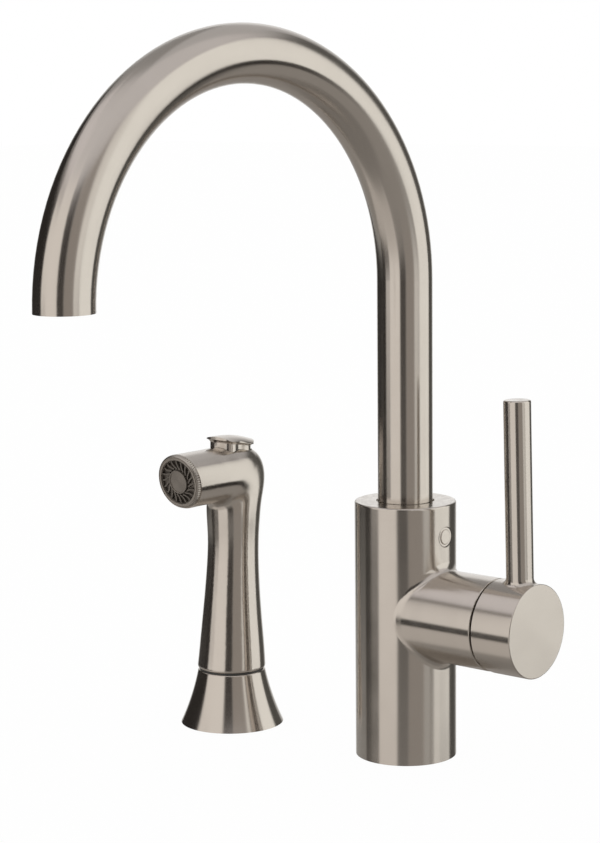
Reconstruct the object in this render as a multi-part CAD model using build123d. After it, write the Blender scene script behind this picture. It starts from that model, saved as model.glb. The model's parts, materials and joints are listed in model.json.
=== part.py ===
from build123d import *
import math
import os

# Side spray kitchen faucet. Millimetres, +Z up.
# The origin is the centre of the faucet body's base, on the deck. The valve hub and its lever point
# along +X, the spout hangs over the sink towards -Y, and the side spray stands at -X.

# ---------------------------------------------------------------- clearances
running_gap = 0.05        # a turning or sliding fit, and a piece in its own hole
swing_gap = 0.4           # between curved pieces that move past each other
slip_gap = 0.3            # between flat pieces that slide past each other
past = 1.0                # how far a cut runs on beyond the face that it opens
sharp = 0.01              # how near its place an edge is looked for

# ---------------------------------------------------------------- faucet body
body_radius = 23.5
body_height = 120.0
body_edge = 0.9
body_wall = 3.2           # round the hose chamber in the foot
foot_drop = 26.6          # from the valve hub's axis down to the top of the hose chamber
boss_radius = 7.0         # post that the mounting stud screws into
stud_hole_radius = 3.4
stud_hole_depth = 30.0
port_radius = 4.5         # threaded inlets and the spray outlet
port_depth = 10.0
port_circle = 13.4        # distance of the three ports from the body's axis
drill_radius = 3.0        # hot and cold waterways
spray_drill_radius = 2.5
gasket_width = 1.3
gasket_inset = 0.95       # from the foot's rim
gasket_depth = 1.5

# ---------------------------------------------------------------- valve hub
hub_step = 2.3            # the hub's radius is this much smaller than the body's
hub_drop = 51.4           # hub's axis below the body's top
hub_reach = 52.4
hub_blend = 4.0
hub_edge = 0.5
hub_wall = 3.2            # round the valve cartridge
valve_depth = 36.4        # from the hub's end to the seat where the cartridge stands
nut_wall = 2.2            # round the nut
nut_lead = 1.5            # the wider, threaded stretch starts this far behind the nut
nut_thickness = 4.0
nut_bore = 13.0
nut_notch = 3.0

# ---------------------------------------------------------------- valve cartridge, along X
seal_width = 1.2
seal_height = 1.6
seal_squeeze = 0.15       # the base plate stands this far off its seat, on the seals
base_plate_height = 4.35
fixed_disc_height = 3.2
moving_disc_height = 2.85
moving_disc_room = 4.1    # between the moving disc and the case
disc_rim = 2.4            # round the pocket under the moving disc
disc_pocket_depth = 1.4
carrier_height = 3.8
case_wall = 2.0
case_shoulder_width = 3.2
case_drop = 6.4           # the case's end, behind the hub's end
carrier_gap = 0.5         # between the carrier and the turret's flange
turret_flange_height = 2.8
turret_rise = 1.0         # how far the turret stands out of the case
inlet_spacing = 9.5       # each inlet's distance from the valve's middle, along Y
inlet_drop = 5.6          # and below the valve's axis
outlet_rise = 8.5
outlet_radius = 3.5
disc_hole_radius = 2.6

# ---------------------------------------------------------------- lever
pivot_setback = 12.9      # lever pivot behind the hub's end
rod_lean = 1.4            # degrees that the rod leans towards the body, about the lever's pivot
lever_lift = 20.0         # degrees that the lever opens
stem_ball_radius = 1.95
stem_ball_gap = 0.15      # under the ball, in the carrier
stem_neck_radius = 1.55
stem_width = 6.0
pin_radius = 1.5
pin_half_length = 11.0
cover_thickness = 1.6
cover_inset = 1.5         # the cover ring's foot inside the hub's rim
cover_hole = 12.8
cover_skirt = 2.2
cap_overhang = 0.15       # the cap's radius over the hub's
cap_gap = 1.2             # between the hub's end and the cap
cap_length = 20.8
cap_edge = 0.45
cap_relief_height = 9.0   # the cap's back edge is cut away over this height, at the bottom
cap_relief_depth = 3.0
rod_radius = 6.2
rod_offset = 8.9          # rod's axis back from the cap's face
rod_top = 102.7           # above the valve's axis
rod_flare = 2.5
rod_edge = 0.9
rod_tenon_radius = 4.0
rod_tenon_depth = 12.0
socket_depth = 7.4        # how far the stem reaches into the cap's end
lever_screw_radius = 2.0
lever_screw_length = 8.0
lever_screw_offset = 6.2  # from the cap's face
lever_key_radius = 1.0
lever_key_depth = 2.0
lever_plug_height = 2.4

# ---------------------------------------------------------------- spout
spout_radius = 12.7
spout_wall = 1.2
spout_reach = 203.2
mouth_height = 222.4
spout_turn = 3.0          # degrees, resting
spout_swing = 70.0        # degrees each way
spout_well_depth = 28.0   # depth of the socket in the body's top
spout_well_gap = 0.8      # between the socket and the tube
tube_depth = 8.0          # the tube's end, below the body's top
stem_neck_height = 10.0
stem_bore = 8.5
bearing_length = 10.5
bearing_drop = 0.9        # below the body's top
foot_ring_height = 2.4
o_ring_groove = 1.3
lower_o_ring_drop = 21.5  # below the body's top
o_ring_pitch = 3.3
retainer_drop = 14.6      # below the body's top
retainer_slot_depth = 1.7
retainer_tip_radius = 1.3
retainer_radius = 2.5
retainer_length = 8.4
retainer_tip_length = 2.6
retainer_key_radius = 1.25
retainer_key_depth = 2.5
plug_radius = 4.45
plug_dome_radius = 3.5
plug_edge = 0.38
plug_depth = 3.0
plug_hole_radius = 4.8

# ---------------------------------------------------------------- aerator
aerator_recess = 0.6
aerator_length = 7.0
aerator_wall = 1.3
aerator_pitch = 2.4
aerator_hole = 1.5
screen_height = 2.0
washer_height = 1.5

# ---------------------------------------------------------------- diverter
diverter_radius = 8.0
diverter_drop = 4.6       # floor of its bore below the hub's axis
diverter_base = 2.0
diverter_bore = 6.0
diverter_seat = 20.0      # above the diverter's floor
diverter_seat_height = 2.0
diverter_seat_radius = 4.4
diverter_cup = 6.8
diverter_travel = 2.5
spool_head_height = 2.0
spool_stem_radius = 1.6
spool_piston_height = 2.8
spool_piston_drop = 12.8  # from the seat's underside to the piston's foot
diverter_ring_rise = 4.6
diverter_groove = 1.05
diverter_spring_radius = 4.0

# ---------------------------------------------------------------- side spray
spray_x = -101.1
spray_y = -10.2
holder_base_radius = 25.1
holder_waist_radius = 20.05
holder_waist_height = 12.8
holder_top_radius = 16.4
holder_height = 26.5
holder_edge = 0.8
holder_waist_wall = 1.05
holder_foot_depth = 8.0
bush_wall = 1.8
bush_flange_inset = 0.7   # from the holder's top rim
bush_flange = 0.7
handle_gap = 0.1          # handle's foot above the bush's flange

# the handle's round sections: station from its foot (0) to the crotch (1), radius, and how far back
handle_sections = [
    (0.020, 16.60, 0.0),
    (0.115, 16.00, 0.4),
    (0.250, 15.05, 0.7),
    (0.440, 13.75, 1.2),
    (0.590, 12.95, 1.7),
    (0.755, 12.50, 2.3),
    (0.895, 12.85, 2.6),
]
handle_foot_edge = 1.2
head_radius = 13.2
head_height = 124.0       # head's axis
head_reach = 36.0         # spray face's centre, ahead of the spray's axis
face_tilt = 8.0           # degrees that the spray face looks down
shoulder_back = 7.1       # centre of the round shoulder, behind the spray's axis
shoulder_drop = 1.0       # and below the head's axis
crotch_drop = 17.4        # centre of the small round under the head, below the head's axis
crotch_ahead = 14.5
crotch_radius = 4.0
neck_back = 16.5          # handle's back, at the height of the crotch
fan_sections = 8          # steps in which the handle turns into the head
nose_sections = 5         # and steps along the head

handle_bore = 9.0
bore_back = 1.5           # handle bore and trigger, behind the spray's axis
handle_bore_drop = 19.8   # end of the handle's bore below the head's axis
adapter_height = 24.0
adapter_web = 3.5
neck_radius = 5.95
neck_height = 18.0
connector_radius = 10.4
connector_drop = 18.0     # connector's end below the handle's foot
hose_thread_radius = 5.7
hose_thread_depth = 9.0
hose_bore = 3.6
clip_height = 1.2
clip_bite = 0.6           # how far the clip reaches into the neck, and out of it
clip_rise = 13.0
neck_groove = 1.2
connector_ring_rise = 6.0

waterway_tube_radius = 4.6
valve_housing_height = 14.0
valve_housing_web = 1.5
valve_chamber_radius = 6.0
valve_chamber_height = 9.5
valve_seat_hole = 3.0
poppet_radius = 4.8
poppet_height = 2.6
poppet_seal_height = 0.5
trigger_travel = 1.8
spring_wire = 0.35
spring_turns = 4.0

# ---------------------------------------------------------------- spray trigger
trigger_back = 2.5        # its middle, behind the spray's axis
trigger_sink = 2.8        # trigger's foot below the top of the head
trigger_foot_size = (21.3, 12.8, 11.8, 13.8)        # length, width of the front lobe, waist, rear lobe
trigger_flange_size = (24.7, 15.6, 14.6, 16.6)
trigger_lobes = (0.18, 0.06, 0.15)          # front lobe, waist and rear lobe, as shares of the length
trigger_neck_height = 3.3
trigger_neck_lean = 10.0
trigger_flare = 0.25      # how much of its flare the trigger has gained half way up the flare
trigger_flange_height = 4.4
trigger_flange_lean = 11.0
# the crowned top: how far behind the middle, height of the crest over the foot, radius across
trigger_crown = [
    (-14.5, 7.6, 25.0),
    (-9.5, 8.3, 15.0),
    (-3.5, 8.1, 12.0),
    (2.5, 7.3, 12.0),
    (7.5, 6.1, 13.0),
    (14.0, 4.3, 15.0),
]
crown_span = 0.85         # half the width of such a section, as a share of its radius
trigger_stem_radius = 1.6
trigger_stem_grip = 3.6   # how far the stem reaches into the trigger
head_waterway_radius = 5.5
head_waterway_drop = 2.0  # below the head's axis
gland_radius = 3.9
gland_height = 2.0

# ---------------------------------------------------------------- spray nozzle
nozzle_wall = 1.3
nozzle_depth = 8.0
bezel_inset = 0.15        # inside the head's outline
bezel_height = 2.4
bezel_bevel = 0.7
bezel_lip = 1.0
bezel_groove_inset = 0.95 # from the bezel's opening
bezel_groove = 0.35
bezel_groove_depth = 0.3
bezel_sleeve = 4.5
knurl_teeth = 72
knurl_depth = 0.3
plate_height = 5.5
plate_recess = 1.3
plate_sunk = 0.5
plate_rim = 1.6           # round the hollow behind the plate
plate_back_depth = 2.6
vane_count = 20
vane_inner = 6.4
vane_margin = 0.7         # between the vanes' outer ends and the bezel
vane_sweep = 19.0
vane_bend = 6.0
vane_width = 0.75
jet_radius = 0.45
disc_radius = 5.6
disc_height = 1.9
disc_rim_width = 0.5
disc_dish = 0.35
disc_stem_radius = 1.6
nozzle_seal_width = 2.2

# ---------------------------------------------------------------- sizes that follow
hub_radius = body_radius - hub_step
hub_height = body_height - hub_drop
foot_depth = hub_height - foot_drop
diverter_floor = hub_height - diverter_drop
retainer_height = body_height - retainer_drop
lower_o_ring_height = body_height - lower_o_ring_drop
pivot_x = hub_reach - pivot_setback
cap_radius = hub_radius + cap_overhang
cover_radius = math.hypot(hub_radius - cover_inset, pivot_setback)
cap_hollow = math.hypot(hub_radius, pivot_setback) + swing_gap
cap_start = hub_reach + cap_gap
cap_end = cap_start + cap_length
well_radius = spout_radius + spout_well_gap
well_floor = body_height - spout_well_depth
tube_foot = body_height - tube_depth
arch_radius = spout_reach / 2
spout_bore = spout_radius - spout_wall
valve_bore = hub_radius - hub_wall
valve_radius = valve_bore - swing_gap
valve_seat = hub_reach - valve_depth
nut_radius = hub_radius - nut_wall
case_end = hub_reach - case_drop
nut_seat = case_end - nut_lead
case_bore = valve_radius - case_wall
case_neck_bore = case_bore - case_shoulder_width
fixed_disc_radius = case_bore - slip_gap
moving_disc_radius = case_bore - moving_disc_room
plate_start = valve_seat + seal_squeeze
case_start = plate_start + base_plate_height
fixed_disc_top = case_start + fixed_disc_height
moving_disc_start = fixed_disc_top + running_gap
carrier_start = moving_disc_start + moving_disc_height
carrier_end = carrier_start + carrier_height
stem_ball_x = carrier_start + slip_gap + stem_ball_gap + stem_ball_radius
stem_arm = pivot_x - stem_ball_x
holder_foot_bore = holder_waist_radius - holder_waist_wall
bush_bore = connector_radius + slip_gap
bush_radius = bush_bore + bush_wall
bush_flange_radius = holder_top_radius - bush_flange_inset
handle_foot = holder_height + bush_flange + handle_gap
crotch_height = head_height - crotch_drop
shoulder_height = head_height - shoulder_drop
handle_length = crotch_height - handle_foot
handle_bore_top = head_height - handle_bore_drop
head_waterway_height = head_height - head_waterway_drop
adapter_bore = neck_radius + running_gap
valve_housing_foot = handle_bore_top - valve_housing_height
trigger_foot = head_height + head_radius - trigger_sink
trigger_stem_top = trigger_foot + trigger_stem_grip
nozzle_bore = head_radius - nozzle_wall
bezel_radius = head_radius - bezel_inset
bezel_opening = nozzle_bore - bezel_lip
vane_outer = bezel_opening - vane_margin
plate_back_radius = bezel_opening - plate_rim
trigger_pocket_floor = trigger_foot - trigger_travel - swing_gap
port_angles = {"hot": -45.0, "cold": 45.0, "spray": 180.0}

FROM_BASE = (Align.CENTER, Align.CENTER, Align.MIN)
nodes = {}


# ---------------------------------------------------------------- shape helpers
def post(radius, low, high, x=0.0, y=0.0):
    """A round bar standing between two heights."""
    return Pos(x, y, low) * Cylinder(radius, high - low, align=FROM_BASE)


def collar(outer, inner, low, high, x=0.0, y=0.0):
    """A round ring standing between two heights."""
    return post(outer, low, high, x, y) - post(inner, low, high, x, y)


def bar(radius, start, end):
    """A round bar from one point to another."""
    run = Vector(*end) - Vector(*start)
    place = Plane(origin=start, z_dir=run)
    return place.location * Cylinder(radius, run.length, align=FROM_BASE)


def block(x_low, x_high, y_low, y_high, z_low, z_high):
    """A rectangular block between six faces."""
    size = Box(x_high - x_low, y_high - y_low, z_high - z_low, align=(Align.MIN, Align.MIN, Align.MIN))
    return Pos(x_low, y_low, z_low) * size


def turned(points):
    """A solid turned about Z from corners given as radius and height."""
    outline = Polyline([(radius, 0, height) for radius, height in points], close=True)
    return revolve(make_face(outline), Axis.Z, 360)


def lathe(*pieces):
    """A solid turned about Z from a closed run of lines and arcs."""
    edges = [edge for piece in pieces for edge in piece.edges()]
    return revolve(make_face(Wire(edges)), Axis.Z, 360)


def o_ring(inner, outer, height):
    """A ring of round section that fills the space between two radii."""
    section = Circle((outer - inner) / 2 - running_gap)
    placed = Plane.XZ * Pos((outer + inner) / 2, height) * section
    return revolve(placed, Axis.Z, 360)


def coil(radius, wire, low, high, turns):
    """A spring wound about Z, between two heights."""
    rise = high - low - 2 * wire
    path = Pos(0, 0, low + wire) * Helix(rise / turns, rise, radius)
    section = Plane(origin=path @ 0, z_dir=path % 0) * Circle(wire)
    return sweep(section, path, is_frenet=True)


def seams(shape):
    """The edges where curved faces meet, neither straight nor round."""
    plain = (GeomType.LINE, GeomType.CIRCLE)
    return [edge for edge in shape.edges() if edge.geom_type not in plain]


def rims(shape, place, along=(0, 0, 1)):
    """The round edges of a shape whose centres lie at a place along a direction, or past it."""
    found = []
    for edge in shape.edges().filter_by(GeomType.CIRCLE):
        if edge.center().dot(Vector(*along)) > place - sharp:
            found.append(edge)
    return found


def on_hub(shape):
    """Lays a shape that was built along Z on the hub's axis, pointing along X."""
    return Pos(0, 0, hub_height) * Rot(0, 90, 0) * shape


def leaned(shape):
    """Leans a piece of the rod towards the body, about the lever's pivot."""
    pivot = Pos(pivot_x, 0, hub_height)
    return pivot * Rot(0, -rod_lean, 0) * pivot.inverse() * shape


def at_spray(shape):
    """Moves a piece built about the spray's own axis to where the spray stands."""
    return Pos(spray_x, spray_y, 0) * shape


def port_place(name):
    """Where one of the three ports lies under the body."""
    angle = math.radians(port_angles[name])
    return port_circle * math.cos(angle), port_circle * math.sin(angle)


# ---------------------------------------------------------------- faucet body
def body_outside():
    """The round body with the valve hub blended into its side."""
    upright = post(body_radius, 0, body_height)
    hub = bar(hub_radius, (0, 0, hub_height), (hub_reach, 0, hub_height))
    joined = upright + hub
    joined = fillet(seams(joined), hub_blend)
    joined = fillet(rims(joined, body_height), body_edge)
    return fillet(rims(joined, hub_reach, (1, 0, 0)), hub_edge)


def body_waterways():
    """Drillings that bring hot and cold water to the valve and mixed water to the diverter."""
    drill_top = hub_height - inlet_drop
    cuts = []
    for name in port_angles:
        x, y = port_place(name)
        cuts.append(post(port_radius, foot_depth - past, foot_depth + port_depth, x, y))
    for name, side in (("hot", -1), ("cold", 1)):
        x, y = port_place(name)
        cuts.append(post(drill_radius, foot_depth, drill_top, x, y))
        way_end = (valve_seat + past, side * inlet_spacing, drill_top)
        cuts.append(bar(drill_radius, (x, y, drill_top), way_end))
    spray_port = port_place("spray")
    spray_start = (spray_port[0], spray_port[1], foot_depth + port_depth - spray_drill_radius)
    cuts.append(bar(spray_drill_radius, spray_start, (-spray_drill_radius, 0, diverter_floor + past)))
    outlet_height = hub_height + outlet_rise
    cuts.append(bar(outlet_radius, (0, 0, outlet_height), (valve_seat + past, 0, outlet_height)))
    return cuts


def build_body():
    """The body casting with its bores, and the gasket under its foot."""
    shell = body_outside()
    foot = collar(body_radius - body_wall, boss_radius, 0, foot_depth)
    gasket_outer = body_radius - gasket_inset
    gasket_inner = gasket_outer - gasket_width
    cuts = [
        foot,
        post(stud_hole_radius, 0, stud_hole_depth),
        collar(gasket_outer + running_gap, gasket_inner - running_gap, 0, gasket_depth),
        post(well_radius, well_floor, body_height + past),
        post(diverter_radius + running_gap, diverter_floor, well_floor + past),
        on_hub(post(valve_bore, valve_seat, hub_reach + past)),
        on_hub(post(nut_radius + running_gap, nut_seat, hub_reach + past)),
        bar(retainer_radius + running_gap, (0, 0, retainer_height), (body_radius, 0, retainer_height)),
        bar(plug_hole_radius, (body_radius - plug_depth, 0, retainer_height),
            (body_radius + past, 0, retainer_height)),
    ]
    for cut in cuts + body_waterways():
        shell = shell - cut
    nodes["body_shell"] = shell
    nodes["base_gasket"] = collar(gasket_outer, gasket_inner, 0, gasket_depth)


# ---------------------------------------------------------------- spout
def slot_sector():
    """The groove in the spout's stem that the retaining screw runs in, ending at the swing's stops."""
    floor = spout_radius - retainer_slot_depth
    tip_angle = math.degrees(math.asin((retainer_tip_radius + slip_gap) / floor))
    half_turn = spout_swing + tip_angle
    low = retainer_height - retainer_tip_radius - slip_gap / 2
    high = retainer_height + retainer_tip_radius + slip_gap / 2
    outside = spout_radius + past
    corners = [(floor, 0, low), (outside, 0, low), (outside, 0, high), (floor, 0, high)]
    outline = Polyline(corners, close=True)
    sector = revolve(make_face(outline), Axis.Z, 2 * half_turn)
    return Rot(0, 0, -half_turn) * sector


def build_spout():
    """The bent tube, the stem it turns on, its rings, and the screw that holds it in the body."""
    straight = collar(spout_radius, spout_bore, tube_foot, mouth_height)
    rim = Plane.XY.offset(mouth_height) * (Circle(spout_radius) - Circle(spout_bore))
    arch = revolve(rim, Axis((0, -arch_radius, mouth_height), (1, 0, 0)), 180)
    turn = Rot(0, 0, -spout_turn)
    mouth_depth = aerator_recess + aerator_length + washer_height
    mouth = post(spout_bore, mouth_height - past, mouth_height + mouth_depth, 0, -spout_reach)
    nodes["spout_tube"] = turn * (straight + arch - mouth)

    stem_foot = well_floor + slip_gap
    stem = post(spout_radius, stem_foot, tube_foot)
    stem = stem + post(spout_bore - running_gap, tube_foot, tube_foot + stem_neck_height)
    stem = stem - post(stem_bore, stem_foot, tube_foot + stem_neck_height)
    ring_low = stem_foot + slip_gap
    ring_high = ring_low + foot_ring_height
    ring_seat = spout_radius - spout_well_gap
    stem = stem - collar(spout_radius + past, ring_seat, ring_low, ring_high)
    groove_floor = spout_radius - o_ring_groove
    ring_heights = [lower_o_ring_height, lower_o_ring_height + o_ring_pitch]
    section = (well_radius - groove_floor) / 2
    for height in ring_heights:
        stem = stem - collar(spout_radius + past, groove_floor, height - section, height + section)
    stem = stem - slot_sector()
    nodes["spout_stem"] = stem
    nodes["spout_foot_ring"] = collar(well_radius - running_gap, ring_seat + running_gap,
                                      ring_low + running_gap, ring_high - running_gap)
    rings = [o_ring(groove_floor, well_radius, height) for height in ring_heights]
    nodes["spout_o_rings"] = Compound(children=rings)
    bearing_top = body_height - bearing_drop
    nodes["spout_bearing_sleeve"] = collar(well_radius, spout_radius + running_gap,
                                           bearing_top - bearing_length, bearing_top)

    tip = spout_radius - retainer_slot_depth + slip_gap
    shoulder = tip + retainer_tip_length
    end = tip + retainer_length
    screw = bar(retainer_tip_radius, (tip, 0, retainer_height), (end, 0, retainer_height))
    screw = screw + bar(retainer_radius, (shoulder, 0, retainer_height), (end, 0, retainer_height))
    key_place = Plane(origin=(end, 0, retainer_height), z_dir=(-1, 0, 0))
    key = key_place * RegularPolygon(retainer_key_radius, 6)
    nodes["spout_retaining_screw"] = screw - extrude(key, retainer_key_depth)
    seat = body_radius - plug_depth
    rim_end = math.sqrt(body_radius ** 2 - plug_radius ** 2)
    plug = bar(plug_radius, (seat, 0, retainer_height), (rim_end, 0, retainer_height))
    crown = bar(plug_dome_radius, (seat, 0, retainer_height), (body_radius, 0, retainer_height))
    nodes["side_plug"] = plug + fillet(rims(crown, body_radius, (1, 0, 0)), plug_edge)


def build_aerator():
    """The outlet insert in the mouth of the spout, built upright and then carried to the mouth."""
    place = Rot(0, 0, -spout_turn) * Pos(0, -spout_reach, mouth_height)
    outer = spout_bore - running_gap
    inner = outer - aerator_wall
    low = aerator_recess
    high = low + aerator_length
    housing = collar(outer, inner, low, high)
    plate = post(inner, low, low + screen_height)
    rows = int(inner / aerator_pitch)
    for column in range(-rows, rows + 1):
        for row in range(-rows, rows + 1):
            x = (column + (row % 2) / 2) * aerator_pitch
            y = row * aerator_pitch * math.sqrt(3) / 2
            if math.hypot(x, y) + aerator_hole / 2 < inner - running_gap:
                plate = plate - post(aerator_hole / 2, low - past, low + screen_height + past, x, y)
    washer_inner = inner - aerator_wall
    nodes["aerator_housing"] = place * housing
    nodes["aerator_screen"] = place * plate
    nodes["aerator_washer"] = place * collar(outer, washer_inner, high, high + washer_height)


# ---------------------------------------------------------------- valve cartridge
def valve_ports():
    """The three ways through the valve's foot: local x and y, with hole radius."""
    return [
        (inlet_drop, -inlet_spacing, disc_hole_radius),
        (inlet_drop, inlet_spacing, disc_hole_radius),
        (-outlet_rise, 0.0, outlet_radius),
    ]


def build_valve():
    """The mixing valve: seals, base plate, discs, case, turret and the nut that clamps it."""
    seals = []
    plate = post(valve_radius, plate_start, case_start)
    disc = post(fixed_disc_radius, case_start, fixed_disc_top)
    for x, y, radius in valve_ports():
        outer = radius + slip_gap + seal_width
        seal = collar(outer, radius + slip_gap, valve_seat + running_gap, valve_seat + seal_height, x, y)
        seals.append(on_hub(seal))
        plate = plate - post(outer + running_gap, plate_start, valve_seat + seal_height, x, y)
        plate = plate - post(radius, plate_start, case_start, x, y)
        disc = disc - post(radius, case_start, fixed_disc_top, x, y)
    nodes["valve_port_seals"] = Compound(children=seals)
    nodes["valve_base_plate"] = on_hub(plate)
    nodes["fixed_disc"] = on_hub(disc)

    moving = post(moving_disc_radius, moving_disc_start, carrier_start)
    pocket_end = moving_disc_start + disc_pocket_depth
    moving = moving - post(moving_disc_radius - disc_rim, moving_disc_start, pocket_end)
    nodes["moving_disc"] = on_hub(moving)
    carrier = post(moving_disc_radius, carrier_start, carrier_end)
    carrier = carrier - post(stem_ball_radius + swing_gap, carrier_start + slip_gap, carrier_end)
    nodes["disc_carrier"] = on_hub(carrier)

    flange_low = carrier_end + carrier_gap
    flange_high = flange_low + turret_flange_height
    case_shoulder = flange_high + slip_gap
    case = post(valve_radius, case_start, case_end)
    case = case - post(case_bore, case_start, case_shoulder)
    case = case - post(case_neck_bore, case_shoulder, case_end)
    nodes["valve_case"] = on_hub(case)

    turret = post(case_bore - swing_gap, flange_low, flange_high)
    turret = turret + post(case_neck_bore - running_gap, flange_low, case_end + turret_rise)
    turret_end = case_end + turret_rise
    reach = max(turret_end - pivot_x, pivot_x - flange_low)
    open_angle = math.radians(lever_lift)
    slot_half = reach * math.tan(open_angle) + stem_width / 2 / math.cos(open_angle) + slip_gap
    slot_side = stem_width / 2 + slip_gap
    turret = turret - block(-slot_half, slot_half, -slot_side, slot_side,
                            flange_low - past, turret_end + past)
    turret = on_hub(turret)
    pin = bar(pin_radius, (pivot_x, -pin_half_length, hub_height), (pivot_x, pin_half_length, hub_height))
    nodes["turret"] = turret - pin
    nodes["stem_pin"] = pin

    nut = collar(nut_radius, nut_bore, case_end, case_end + nut_thickness)
    for turn in (0, 90):
        across = block(-nut_radius, nut_radius, -nut_notch / 2, nut_notch / 2,
                       case_end + nut_thickness / 2, case_end + nut_thickness)
        nut = nut - Rot(0, 0, turn) * across
    nodes["valve_nut"] = on_hub(nut)

    hole_end = pivot_x + math.sqrt(cover_radius ** 2 - cover_hole ** 2)
    inner_radius = cover_radius - cover_thickness
    hole_start = pivot_x + math.sqrt(inner_radius ** 2 - cover_hole ** 2)
    outer_arc = ball_profile(cover_radius, hub_reach, hole_end)
    skirt_top = hub_reach + cover_thickness
    inner_arc = ball_profile(inner_radius, skirt_top, hole_start)
    skirt_bore = nut_radius - 2 * cover_thickness
    skirt_foot = hub_reach - cover_skirt
    skirt = Polyline([inner_arc @ 0, (skirt_bore, 0, skirt_top), (skirt_bore, 0, skirt_foot),
                      (nut_radius, 0, skirt_foot), (nut_radius, 0, hub_reach), outer_arc @ 0])
    cover = lathe(outer_arc, Line(outer_arc @ 1, inner_arc @ 1), inner_arc, skirt)
    nodes["valve_cover_ring"] = on_hub(cover)


# ---------------------------------------------------------------- lever
def ball_profile(radius, low, high):
    """The arc of a ball about the lever's pivot, between two heights along the hub's axis."""
    points = []
    for height in (low, (low + high) / 2, high):
        points.append((math.sqrt(max(radius ** 2 - (height - pivot_x) ** 2, 0)), 0, height))
    return ThreePointArc(*points)


def hollow_cap():
    """The round cap, hollowed by a ball about the pivot so that its rim tilts over the hub's end."""
    cap = bar(cap_radius, (cap_start, 0, hub_height), (cap_end, 0, hub_height))
    cap = fillet(rims(cap, cap_end, (1, 0, 0)), cap_edge)
    ball = on_hub(Pos(0, 0, pivot_x) * Sphere(cap_hollow))
    return cap - ball


def build_lever():
    """The lever's stem, its hollow cap, and the upright rod that grows out of the cap."""
    socket_end = pivot_x + cap_hollow + socket_depth
    half = stem_width / 2
    neck_end = stem_ball_x + stem_ball_radius
    stem = block(neck_end, socket_end, -half, half, hub_height - half, hub_height + half)
    stem = stem + bar(stem_neck_radius, (stem_ball_x, 0, hub_height), (neck_end + past, 0, hub_height))
    stem = stem + on_hub(Pos(0, 0, stem_ball_x) * Sphere(stem_ball_radius))
    pin_hole = bar(pin_radius + running_gap, (pivot_x, -stem_width, hub_height),
                   (pivot_x, stem_width, hub_height))
    nodes["valve_stem"] = stem - pin_hole

    plain_cap = bar(cap_radius, (cap_start, 0, hub_height), (cap_end, 0, hub_height))
    cap_top = hub_height + cap_radius
    rod_x = cap_end - rod_offset
    rod_end = hub_height + rod_top
    rod_bar = post(rod_radius, hub_height, rod_end, rod_x, 0)
    rod_bar = leaned(fillet(rims(rod_bar, rod_end), rod_edge))
    rod = fillet(seams(plain_cap + rod_bar), rod_flare) - plain_cap
    tenon_low = cap_top - rod_tenon_depth
    tenon = post(rod_tenon_radius, tenon_low, cap_top + rod_flare, rod_x, 0)
    nodes["lever_rod"] = rod + leaned(tenon)

    cap = hollow_cap()
    side = half + running_gap
    cap = cap - block(pivot_x, socket_end, -side, side, hub_height - side, hub_height + side)
    tenon_hole = post(rod_tenon_radius + running_gap, tenon_low - running_gap, cap_top + past, rod_x, 0)
    cap = cap - leaned(tenon_hole)
    cap_low = hub_height - cap_radius
    relief_top = cap_low + cap_relief_height
    deep = cap_start + cap_relief_depth
    shallow = cap_start - cap_relief_depth
    relief_low = relief_top - 2 * cap_relief_height
    corners = [(shallow, 0, relief_top + cap_relief_height), (deep, 0, relief_top - cap_relief_height),
               (deep, 0, relief_low), (shallow, 0, relief_low)]
    relief = make_face(Polyline(corners, close=True))
    cap = cap - extrude(relief, cap_radius, both=True)
    screw_x = cap_end - lever_screw_offset
    screw_top = hub_height - half - running_gap
    cap = cap - post(lever_screw_radius + running_gap, cap_low - past, hub_height, screw_x, 0)
    nodes["lever_cap"] = cap
    screw_foot = screw_top - lever_screw_length
    screw = post(lever_screw_radius, screw_foot, screw_top, screw_x, 0)
    key = Pos(screw_x, 0, screw_foot) * RegularPolygon(lever_key_radius, 6)
    nodes["lever_set_screw"] = screw - extrude(key, lever_key_depth)
    plug_low = cap_low + slip_gap
    nodes["lever_plug"] = post(lever_screw_radius, plug_low, plug_low + lever_plug_height, screw_x, 0)


# ---------------------------------------------------------------- diverter
def build_diverter():
    """The diverter: a sleeve with a seat, and a sprung spool that shuts the spout while spraying."""
    top = well_floor - slip_gap
    floor = diverter_floor + diverter_base
    seat_low = diverter_floor + diverter_seat
    seat_high = seat_low + diverter_seat_height
    ring_height = diverter_floor + diverter_ring_rise
    sleeve = post(diverter_radius, diverter_floor, top)
    sleeve = sleeve - post(spray_drill_radius, diverter_floor, floor)
    sleeve = sleeve - post(diverter_bore, floor, seat_low)
    sleeve = sleeve - post(diverter_seat_radius, seat_low, seat_high)
    sleeve = sleeve - post(diverter_cup, seat_high, top)
    window = hub_height + outlet_rise
    sleeve = sleeve - bar(outlet_radius, (0, 0, window), (diverter_radius + past, 0, window))
    groove = diverter_radius - diverter_groove
    section = diverter_groove / 2 + running_gap
    sleeve = sleeve - collar(diverter_radius + past, groove, ring_height - section, ring_height + section)
    nodes["diverter_sleeve"] = sleeve
    nodes["diverter_o_ring"] = o_ring(groove, diverter_radius + running_gap, ring_height)

    head_low = seat_high + diverter_travel + slip_gap
    piston_low = seat_low - spool_piston_drop
    spool = post(diverter_bore, head_low, head_low + spool_head_height)
    spool = spool + post(spool_stem_radius, piston_low, head_low)
    spool = spool + post(diverter_bore - running_gap, piston_low, piston_low + spool_piston_height)
    nodes["diverter_spool"] = spool
    nodes["diverter_spring"] = coil(diverter_spring_radius, spring_wire, floor, piston_low, spring_turns)


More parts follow.
